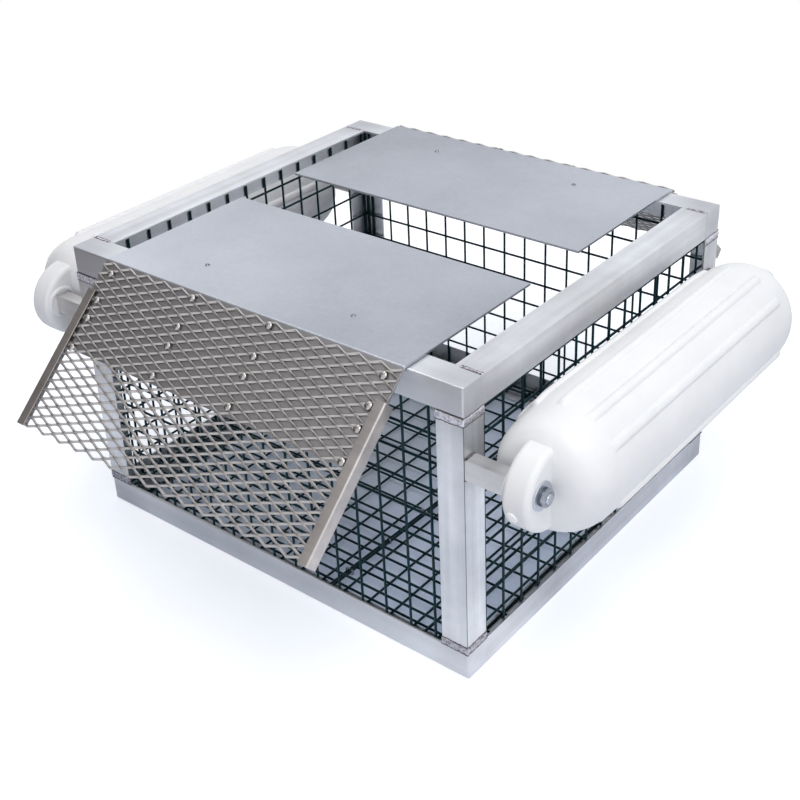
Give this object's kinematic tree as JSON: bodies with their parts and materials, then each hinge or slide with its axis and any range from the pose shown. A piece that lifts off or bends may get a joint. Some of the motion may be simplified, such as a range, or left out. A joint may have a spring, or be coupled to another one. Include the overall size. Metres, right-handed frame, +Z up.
{
  "type": "turtle trap",
  "caption": "Floating basking trap: a wire mesh basket in a welded angle frame, with tilting boards and expanded metal ramps front and back, and a moulded fender on each side.",
  "frame": {"origin": "centre of the object's footprint, on the ground under the bottom rails", "axes": "+X right along the front, +Y to the back, +Z up"},
  "size_m": [0.94, 0.9526, 0.4096],
  "materials": {
    "angle_aluminium": "mill finish, brushed at the welds",
    "sheet_aluminium": "dull mill sheet",
    "coated_wire": "dark green vinyl coating, satin",
    "zinc_steel": "bright zinc plate",
    "white_vinyl": "moulded vinyl, soft gloss"
  },
  "bodies": {
    "frame": {"arm_back_left": "angle_aluminium", "arm_back_right": "angle_aluminium", "arm_front_left": "angle_aluminium", "arm_front_right": "angle_aluminium", "fender_left": "white_vinyl", "fender_right": "white_vinyl", "fork_back_left": "angle_aluminium", "fork_back_right": "angle_aluminium", "fork_front_left": "angle_aluminium", "fork_front_right": "angle_aluminium", "mesh_back": "coated_wire", "mesh_floor": "coated_wire", "mesh_front": "coated_wire", "mesh_left": "coated_wire", "mesh_right": "coated_wire", "nut_back_left": "zinc_steel", "nut_back_right": "zinc_steel", "nut_front_left": "zinc_steel", "nut_front_right": "zinc_steel", "pin_back_left": "zinc_steel", "pin_back_right": "zinc_steel", "pin_front_left": "zinc_steel", "pin_front_right": "zinc_steel", "post_back_left": "angle_aluminium", "post_back_right": "angle_aluminium", "post_front_left": "angle_aluminium", "post_front_right": "angle_aluminium", "rail_bottom_back": "angle_aluminium", "rail_bottom_front": "angle_aluminium", "rail_bottom_left": "angle_aluminium", "rail_bottom_right": "angle_aluminium", "rail_top_back": "angle_aluminium", "rail_top_front": "angle_aluminium", "rail_top_left": "angle_aluminium", "rail_top_right": "angle_aluminium", "stud_back_left": "zinc_steel", "stud_back_right": "zinc_steel", "stud_front_left": "zinc_steel", "stud_front_right": "zinc_steel", "valve_left": "white_vinyl", "valve_right": "white_vinyl", "washer_back_left": "zinc_steel", "washer_back_right": "zinc_steel", "washer_front_left": "zinc_steel", "washer_front_right": "zinc_steel"},
    "front_board": {"deck_front": "sheet_aluminium", "pivot_front_left": "angle_aluminium", "pivot_front_right": "angle_aluminium", "ramp_front": "sheet_aluminium", "trim_front_left": "angle_aluminium", "trim_front_right": "angle_aluminium"},
    "back_board": {"deck_back": "sheet_aluminium", "pivot_back_left": "angle_aluminium", "pivot_back_right": "angle_aluminium", "ramp_back": "sheet_aluminium", "trim_back_left": "angle_aluminium", "trim_back_right": "angle_aluminium"}
  },
  "joints": [
    {"name": "front_tilt", "type": "hinge", "parent": "frame", "child": "front_board", "pos_m": [0, -0.24, 0.395], "axis": [-1, 0, 0], "range_deg": [0, 50]},
    {"name": "back_tilt", "type": "hinge", "parent": "frame", "child": "back_board", "pos_m": [0, 0.24, 0.395], "axis": [1, 0, 0], "range_deg": [0, 50]}
  ]
}
